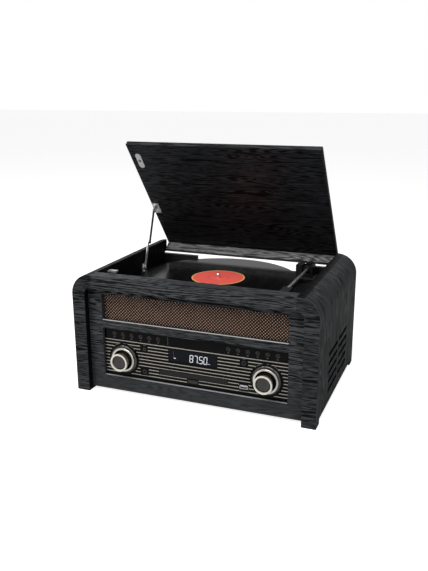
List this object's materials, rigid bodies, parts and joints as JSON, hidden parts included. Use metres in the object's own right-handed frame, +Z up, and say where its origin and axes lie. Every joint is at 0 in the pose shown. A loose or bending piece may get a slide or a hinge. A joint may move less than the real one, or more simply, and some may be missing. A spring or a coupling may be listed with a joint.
{
  "type": "stereo music centre",
  "caption": "Black wood table music centre: lidded record well with tonearm, cloth grille, and a radio and disc panel with display, keys, tray and large knobs.",
  "frame": {"origin": "on the floor, midway between the side panels and midway between the knobs' front and the record's rear edge", "axes": "+X to the right of someone facing the panel, +Y to the back, +Z up"},
  "size_m": [0.44, 0.3328, 0.4327],
  "materials": {
    "black_oak": "open-pored black lacquer",
    "dark_board": "black painted fibreboard",
    "fibreboard": "plain",
    "deck_black": "satin",
    "grille_cloth": "woven",
    "speaker_steel": "black with a paper cone",
    "panel_black": "gloss with bronze lines",
    "display_glass": "dark tint",
    "module_grey": "plain",
    "circuit_green": "solder mask",
    "key_black": "gloss",
    "knob_dark": "gloss dark brown",
    "champagne_chrome": "polished",
    "tray_black": "fine texture",
    "drive_steel": "plain",
    "plug_steel": "plated",
    "jack_black": "plain",
    "platter_black": "moulded",
    "steel": "bright",
    "felt": "felt",
    "vinyl": "grooved, with an orange-red label",
    "brass": "turned",
    "belt_rubber": "plain",
    "arm_black": "satin",
    "arm_metal": "polished",
    "catch_grey": "plain",
    "link_black": "black"
  },
  "bodies": {
    "cabinet": {"left_side_panel": "black_oak", "right_side_panel": "black_oak", "top_front_rail": "black_oak", "front_fascia": "black_oak", "rear_wall": "dark_board", "bottom_panel": "fibreboard", "deck_plate": "deck_black", "grille_cloth": "grille_cloth", "speaker_baffle": "dark_board", "speakers": "speaker_steel", "control_panel": "panel_black", "display_window": "display_glass", "display_module": "module_grey", "main_board": "circuit_green", "cd_drive": "drive_steel", "usb_socket": "plug_steel", "phone_jacks": "jack_black", "platter_motor": "steel", "drive_belt": "belt_rubber", "tonearm_base": "arm_black", "lid_pivot_pins": "steel", "lid_catch": "catch_grey", "stay_wall_bracket": "steel", "power_inlet": "jack_black", "rca_sockets": "brass", "power_supply": "drive_steel"},
    "lid": {"lid_board": "black_oak", "lid_rear_rail": "black_oak", "catch_plate": "steel", "stay_lid_bracket": "steel"},
    "stay_upper": {"stay_upper_link": "link_black"},
    "stay_lower": {"stay_lower_link": "steel"},
    "platter": {"platter": "platter_black", "spindle": "steel", "slip_mat": "felt", "record": "vinyl"},
    "pulley": {"motor_pulley": "brass"},
    "turret": {"tonearm_turret": "arm_black"},
    "arm": {"tonearm_tube": "arm_metal", "headshell": "arm_black"},
    "cue_lever": {"cue_lever": "arm_black"},
    "speed_selector": {"speed_selector": "arm_black"},
    "volume_knob": {"left_knob": "knob_dark", "left_knob_rings": "champagne_chrome"},
    "tuning_knob": {"right_knob": "knob_dark", "right_knob_rings": "champagne_chrome"},
    "tray": {"cd_tray": "tray_black"},
    "eject": {"eject_button": "key_black"},
    "left_key_1": {"left_key_1": "key_black"},
    "left_key_2": {"left_key_2": "key_black"},
    "left_key_3": {"left_key_3": "key_black"},
    "left_key_4": {"left_key_4": "key_black"},
    "left_key_5": {"left_key_5": "key_black"},
    "left_key_6": {"left_key_6": "key_black"},
    "right_key_1": {"right_key_1": "key_black"},
    "right_key_2": {"right_key_2": "key_black"},
    "right_key_3": {"right_key_3": "key_black"},
    "right_key_4": {"right_key_4": "key_black"},
    "right_key_5": {"right_key_5": "key_black"},
    "right_key_6": {"right_key_6": "key_black"}
  },
  "joints": [
    {"name": "lid_hinge", "type": "hinge", "parent": "cabinet", "child": "lid", "pos_m": [0, 0.1421, 0.1985], "axis": [1, 0, 0], "range_deg": [0, 51.5]},
    {"name": "stay_upper_fold", "type": "hinge", "parent": "lid", "child": "stay_upper", "pos_m": [-0.175, 0.07646, 0.29387], "axis": [1, 0, 0], "range_deg": [0, 34.19]},
    {"name": "stay_lower_fold", "type": "hinge", "parent": "cabinet", "child": "stay_lower", "pos_m": [-0.179, 0.0376, 0.184], "axis": [-1, 0, 0], "range_deg": [0, 75.95]},
    {"name": "platter_spin", "type": "hinge", "parent": "cabinet", "child": "platter", "pos_m": [-0.015, 0.0156, 0.17], "axis": [0, 0, -1], "continuous": true},
    {"name": "pulley_spin", "type": "hinge", "parent": "cabinet", "child": "pulley", "pos_m": [-0.07157, 0.07217, 0.17], "axis": [0, 0, -1], "continuous": true},
    {"name": "tonearm_swing", "type": "hinge", "parent": "cabinet", "child": "turret", "pos_m": [0.134, 0.1036, 0.178], "axis": [0, 0, -1], "range_deg": [0, 40]},
    {"name": "tonearm_lift", "type": "hinge", "parent": "turret", "child": "arm", "pos_m": [0.134, 0.1036, 0.1925], "axis": [-1, 0, 0], "range_deg": [0, 6]},
    {"name": "cue_lever_turn", "type": "hinge", "parent": "cabinet", "child": "cue_lever", "pos_m": [0.157, 0.0576, 0.175], "axis": [-1, 0, 0], "range_deg": [0, 30]},
    {"name": "speed_selector_turn", "type": "hinge", "parent": "cabinet", "child": "speed_selector", "pos_m": [0.16, -0.0284, 0.17], "axis": [0, 0, 1], "range_deg": [-30, 30]},
    {"name": "volume_knob_turn", "type": "hinge", "parent": "cabinet", "child": "volume_knob", "pos_m": [-0.1315, -0.1444, 0.0645], "axis": [0, 1, 0], "continuous": true},
    {"name": "tuning_knob_turn", "type": "hinge", "parent": "cabinet", "child": "tuning_knob", "pos_m": [0.1315, -0.1444, 0.0645], "axis": [0, 1, 0], "continuous": true},
    {"name": "cd_tray_slide", "type": "slide", "parent": "cabinet", "child": "tray", "axis": [0, -1, 0], "range_m": [0, 0.13]},
    {"name": "eject_press", "type": "slide", "parent": "cabinet", "child": "eject", "axis": [0, 1, 0], "range_m": [0, 0.001], "stiffness_N_per_m": 800, "springref_m": -0.0005},
    {"name": "left_key_1_press", "type": "slide", "parent": "cabinet", "child": "left_key_1", "axis": [0, 1, 0], "range_m": [0, 0.001], "stiffness_N_per_m": 600, "springref_m": -0.0005},
    {"name": "left_key_2_press", "type": "slide", "parent": "cabinet", "child": "left_key_2", "axis": [0, 1, 0], "range_m": [0, 0.001], "stiffness_N_per_m": 600, "springref_m": -0.0005},
    {"name": "left_key_3_press", "type": "slide", "parent": "cabinet", "child": "left_key_3", "axis": [0, 1, 0], "range_m": [0, 0.001], "stiffness_N_per_m": 600, "springref_m": -0.0005},
    {"name": "left_key_4_press", "type": "slide", "parent": "cabinet", "child": "left_key_4", "axis": [0, 1, 0], "range_m": [0, 0.001], "stiffness_N_per_m": 600, "springref_m": -0.0005},
    {"name": "left_key_5_press", "type": "slide", "parent": "cabinet", "child": "left_key_5", "axis": [0, 1, 0], "range_m": [0, 0.001], "stiffness_N_per_m": 600, "springref_m": -0.0005},
    {"name": "left_key_6_press", "type": "slide", "parent": "cabinet", "child": "left_key_6", "axis": [0, 1, 0], "range_m": [0, 0.001], "stiffness_N_per_m": 600, "springref_m": -0.0005},
    {"name": "right_key_1_press", "type": "slide", "parent": "cabinet", "child": "right_key_1", "axis": [0, 1, 0], "range_m": [0, 0.001], "stiffness_N_per_m": 600, "springref_m": -0.0005},
    {"name": "right_key_2_press", "type": "slide", "parent": "cabinet", "child": "right_key_2", "axis": [0, 1, 0], "range_m": [0, 0.001], "stiffness_N_per_m": 600, "springref_m": -0.0005},
    {"name": "right_key_3_press", "type": "slide", "parent": "cabinet", "child": "right_key_3", "axis": [0, 1, 0], "range_m": [0, 0.001], "stiffness_N_per_m": 600, "springref_m": -0.0005},
    {"name": "right_key_4_press", "type": "slide", "parent": "cabinet", "child": "right_key_4", "axis": [0, 1, 0], "range_m": [0, 0.001], "stiffness_N_per_m": 600, "springref_m": -0.0005},
    {"name": "right_key_5_press", "type": "slide", "parent": "cabinet", "child": "right_key_5", "axis": [0, 1, 0], "range_m": [0, 0.001], "stiffness_N_per_m": 600, "springref_m": -0.0005},
    {"name": "right_key_6_press", "type": "slide", "parent": "cabinet", "child": "right_key_6", "axis": [0, 1, 0], "range_m": [0, 0.001], "stiffness_N_per_m": 600, "springref_m": -0.0005}
  ],
  "couplings": [
    {"joint": "stay_upper_fold", "follows": "lid_hinge", "ratio": 0.65992},
    {"joint": "stay_lower_fold", "follows": "lid_hinge", "ratio": 1.4709},
    {"joint": "pulley_spin", "follows": "platter_spin", "ratio": 9},
    {"joint": "cue_lever_turn", "follows": "tonearm_lift", "ratio": 5}
  ]
}
